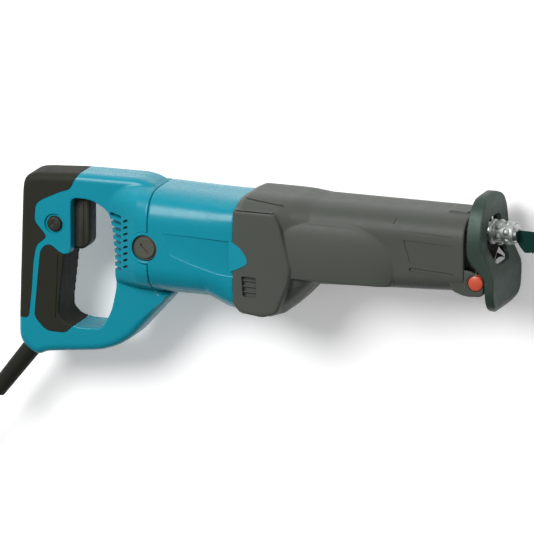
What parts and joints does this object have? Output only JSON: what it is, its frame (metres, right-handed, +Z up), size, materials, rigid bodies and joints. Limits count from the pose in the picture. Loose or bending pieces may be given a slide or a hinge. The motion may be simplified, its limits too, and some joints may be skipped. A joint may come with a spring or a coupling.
{
  "type": "reciprocating saw",
  "caption": "Corded reciprocating saw with D-handle, long trigger, teal motor housing, charcoal barrel cover, pivoting shoe and blade, lying on its side beside its coiled cord.",
  "frame": {"origin": "centre of the saw's footprint without its cord, on the surface it lies on", "axes": "+X from the handle towards the blade's tip, +Y towards the saw's own top, +Z up out of its right side"},
  "size_m": [0.8348, 0.3716, 0.09],
  "materials": {
    "teal_housing": "fine satin moulded nylon",
    "grip_rubber": "matte overmoulded elastomer",
    "cover_rubber": "semi-matte moulded boot",
    "black_plastic": "moulded",
    "orange_plastic": "moulded",
    "cast_aluminium": "die cast",
    "steel": "machined",
    "shoe_steel": "grey-green plated steel",
    "blade_paint": "dark green paint",
    "copper": "enamelled copper",
    "brass": "plain",
    "carbon": "pressed carbon",
    "cord_rubber": "matte rubber sheath"
  },
  "bodies": {
    "casing": {"brush_cap_left": "black_plastic", "brush_cap_right": "black_plastic", "brush_holder_left": "brass", "brush_holder_right": "brass", "carbon_brush_left": "carbon", "carbon_brush_right": "carbon", "coil_tie": "black_plastic", "cord_clamp": "black_plastic", "cord_coil": "cord_rubber", "cord_guard": "cord_rubber", "cord_tail": "cord_rubber", "dust_seal": "grip_rubber", "field_coil_front": "copper", "field_coil_rear": "copper", "field_core": "steel", "front_cover": "cover_rubber", "gear_housing": "cast_aluminium", "gear_plate": "cast_aluminium", "grip_panel_left": "grip_rubber", "grip_panel_right": "grip_rubber", "handle_left": "teal_housing", "handle_right": "teal_housing", "handle_screw_1": "steel", "handle_screw_2": "steel", "handle_screw_3": "steel", "handle_screw_4": "steel", "motor_bearing_front": "steel", "motor_bearing_rear": "steel", "motor_housing": "teal_housing", "plug_body": "cord_rubber", "plug_pin_1": "brass", "plug_pin_2": "brass", "plunger_bush_front": "brass", "plunger_bush_rear": "brass", "power_cord": "cord_rubber", "rear_grip_left": "grip_rubber", "rear_grip_right": "grip_rubber", "switch_body": "black_plastic", "wobble_bearing_front": "steel", "wobble_bearing_rear": "steel"},
    "armature": {"armature_shaft": "steel", "armature_core": "steel", "commutator": "copper", "cooling_fan": "black_plastic"},
    "wobble_drive": {"wobble_shaft": "steel", "drive_gear": "steel"},
    "rocker": {"wobble_arm": "steel"},
    "plunger_group": {"plunger": "steel", "clamp_body": "steel", "saw_blade": "blade_paint"},
    "clamp_collar": {"clamp_sleeve": "steel"},
    "trigger_lever": {"trigger": "grip_rubber"},
    "lock_knob": {"lock_button": "grip_rubber"},
    "shoe_carrier": {"shoe_slide": "steel", "shoe_pin_right": "steel", "shoe_pin_left": "steel"},
    "shoe_plate": {"shoe": "shoe_steel"},
    "shoe_release": {"shoe_button": "orange_plastic"}
  },
  "joints": [
    {"name": "armature_spin", "type": "hinge", "parent": "casing", "child": "armature", "pos_m": [-0.14, 0.02425, 0.045], "axis": [1, 0, 0], "continuous": true},
    {"name": "wobble_spin", "type": "hinge", "parent": "casing", "child": "wobble_drive", "pos_m": [-0.06, -0.00125, 0.045], "axis": [1, 0, 0], "continuous": true},
    {"name": "plunger_stroke", "type": "slide", "parent": "casing", "child": "plunger_group", "axis": [1, 0, 0], "range_m": [-0.028, 0]},
    {"name": "wobble_rock", "type": "hinge", "parent": "casing", "child": "rocker", "pos_m": [-0.053, -0.00125, 0.045], "axis": [0, 0, -1], "range_deg": [-26.8, 0]},
    {"name": "clamp_turn", "type": "hinge", "parent": "plunger_group", "child": "clamp_collar", "pos_m": [0.149, 0.05925, 0.045], "axis": [1, 0, 0], "range_deg": [0, 40], "stiffness_Nm_per_rad": 0.3},
    {"name": "trigger_pull", "type": "slide", "parent": "casing", "child": "trigger_lever", "axis": [-1, 0, 0], "range_m": [0, 0.0065], "stiffness_N_per_m": 900, "springref_m": -0.002},
    {"name": "lock_press", "type": "slide", "parent": "casing", "child": "lock_knob", "axis": [0, 0, -1], "range_m": [0, 0.004], "stiffness_N_per_m": 600, "springref_m": -0.001},
    {"name": "shoe_extend", "type": "slide", "parent": "casing", "child": "shoe_carrier", "axis": [1, 0, 0], "range_m": [0, 0.03]},
    {"name": "shoe_tilt", "type": "hinge", "parent": "shoe_carrier", "child": "shoe_plate", "pos_m": [0.1315, 0.05125, 0.045], "axis": [0, 0, 1], "range_deg": [0, 6.5]},
    {"name": "shoe_release_press", "type": "slide", "parent": "casing", "child": "shoe_release", "axis": [0, 0, -1], "range_m": [0, 0.003], "stiffness_N_per_m": 600, "springref_m": -0.001}
  ],
  "couplings": [
    {"joint": "wobble_spin", "follows": "armature_spin", "ratio": -0.15909},
    {"joint": "wobble_rock", "follows": "plunger_stroke", "rad_per_m": 16.68}
  ]
}
